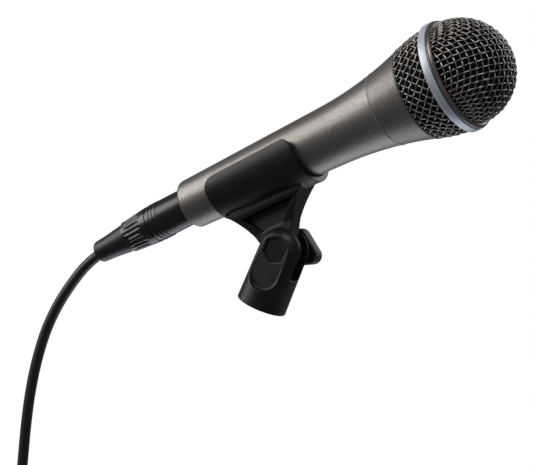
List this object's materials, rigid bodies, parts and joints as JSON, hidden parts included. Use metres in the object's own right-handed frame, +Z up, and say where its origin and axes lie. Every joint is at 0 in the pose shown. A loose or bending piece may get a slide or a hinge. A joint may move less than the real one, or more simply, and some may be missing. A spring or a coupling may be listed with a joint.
{
  "type": "dynamic microphone",
  "caption": "Handheld moving-coil microphone with a woven ball grille, held in a tilting stand clip with a thumbscrew, its latched cable plug and coiled cord attached.",
  "frame": {"origin": "middle of the clip base's bottom face, on the axis of its stand thread, where the clip screws onto a stand", "axes": "+Z up, +X the way the microphone looks, +Y to its left, towards the thumbscrew; the clip base leans towards +X and the microphone points up at about 22 degrees"},
  "size_m": [0.299, 0.054, 0.3863],
  "materials": {
    "handle_paint": "satin gunmetal metallic paint",
    "grille_paint": "dark gunmetal wire, satin",
    "ring_metal": "satin bluish silver",
    "foam": "open-cell foam, matt",
    "clip_plastic": "semi-matt black moulding",
    "knob_plastic": "matt black",
    "plug_metal": "gloss black",
    "boot_rubber": "matt black",
    "cord_rubber": "satin black",
    "black_rubber": "matt",
    "steel": "machined",
    "dark_steel": "black oxide",
    "brass": "machined",
    "contact_metal": "plated",
    "inner_plastic": "moulded black",
    "white_film": "thin film",
    "copper": "enamelled wire",
    "magnet_metal": "plated magnet",
    "felt": "felt",
    "wire_cover": "insulated wire",
    "tie_fabric": "hook-and-loop strap"
  },
  "bodies": {
    "stand_clip": {"clip_base": "clip_plastic", "thread_insert": "brass", "clamp_nut": "dark_steel", "clamp_washer": "dark_steel"},
    "thumbscrew": {"thumbscrew_bolt": "steel", "thumbscrew_knob": "knob_plastic"},
    "cradle": {"clip_cradle": "clip_plastic"},
    "microphone": {"handle_shell": "handle_paint", "socket_insulator": "inner_plastic", "socket_screw": "steel", "socket_pins": "contact_metal", "output_wires": "wire_cover", "transformer_core": "steel", "transformer_winding": "copper", "transformer_wrap": "foam", "capsule_wires": "wire_cover", "shock_mount": "black_rubber", "capsule_frame": "inner_plastic", "magnet_yoke": "magnet_metal", "magnet": "magnet_metal", "pole_piece": "steel", "resonator_cap": "inner_plastic", "front_felt": "felt", "cavity_tube": "inner_plastic"},
    "diaphragm": {"diaphragm": "white_film", "voice_coil": "copper"},
    "windscreen": {"foam_windscreen": "foam"},
    "grille": {"grille_collar": "handle_paint", "grille_rear_mesh": "grille_paint", "grille_ring": "ring_metal", "grille_front_mesh": "grille_paint"},
    "plug": {"plug_shell": "plug_metal", "plug_insulator": "inner_plastic", "plug_contacts": "contact_metal", "plug_chuck": "inner_plastic", "plug_collar": "plug_metal", "plug_boot": "boot_rubber", "plug_cord_end": "cord_rubber", "plug_wires": "wire_cover", "cord_tube": "cord_rubber", "cord_coil": "cord_rubber", "cord_tie": "tie_fabric", "cord_tail": "cord_rubber", "end_shell": "plug_metal", "end_insulator": "inner_plastic", "end_pins": "contact_metal", "end_chuck": "inner_plastic", "end_collar": "plug_metal", "end_boot": "boot_rubber", "end_cord_end": "cord_rubber", "end_wires": "wire_cover"},
    "latch": {"latch_button": "plug_metal"}
  },
  "joints": [
    {"name": "clip_tilt", "type": "hinge", "parent": "stand_clip", "child": "cradle", "pos_m": [0.01244, 0, 0.02631], "axis": [0, 1, 0], "range_deg": [-40, 125]},
    {"name": "thumbscrew_turn", "type": "hinge", "parent": "stand_clip", "child": "thumbscrew", "pos_m": [0.01244, 0, 0.02631], "axis": [0, 1, 0], "range_deg": [0, 540]},
    {"name": "microphone_slide", "type": "slide", "parent": "cradle", "child": "microphone", "axis": [0.9267, 0, 0.3757], "range_m": [0, 0.066]},
    {"name": "diaphragm_travel", "type": "slide", "parent": "microphone", "child": "diaphragm", "axis": [0.9267, 0, 0.3757], "range_m": [-0.0003, 0.0003], "stiffness_N_per_m": 300},
    {"name": "grille_lift", "type": "slide", "parent": "microphone", "child": "windscreen", "axis": [0.9267, 0, 0.3757], "range_m": [0, 0.0081]},
    {"name": "grille_turn", "type": "hinge", "parent": "windscreen", "child": "grille", "pos_m": [-0.04007, 0, 0.04829], "axis": [0.9267, 0, 0.3757], "range_deg": [0, 1440]},
    {"name": "plug_pull", "type": "slide", "parent": "microphone", "child": "plug", "axis": [-0.9183, 0, -0.3959], "range_m": [0, 0.03]},
    {"name": "latch_press", "type": "slide", "parent": "plug", "child": "latch", "axis": [0.3959, 0, -0.9183], "range_m": [0, 0.0012], "stiffness_N_per_m": 300}
  ],
  "couplings": [
    {"joint": "grille_lift", "follows": "grille_turn", "m_per_rad": 0.00031831}
  ]
}
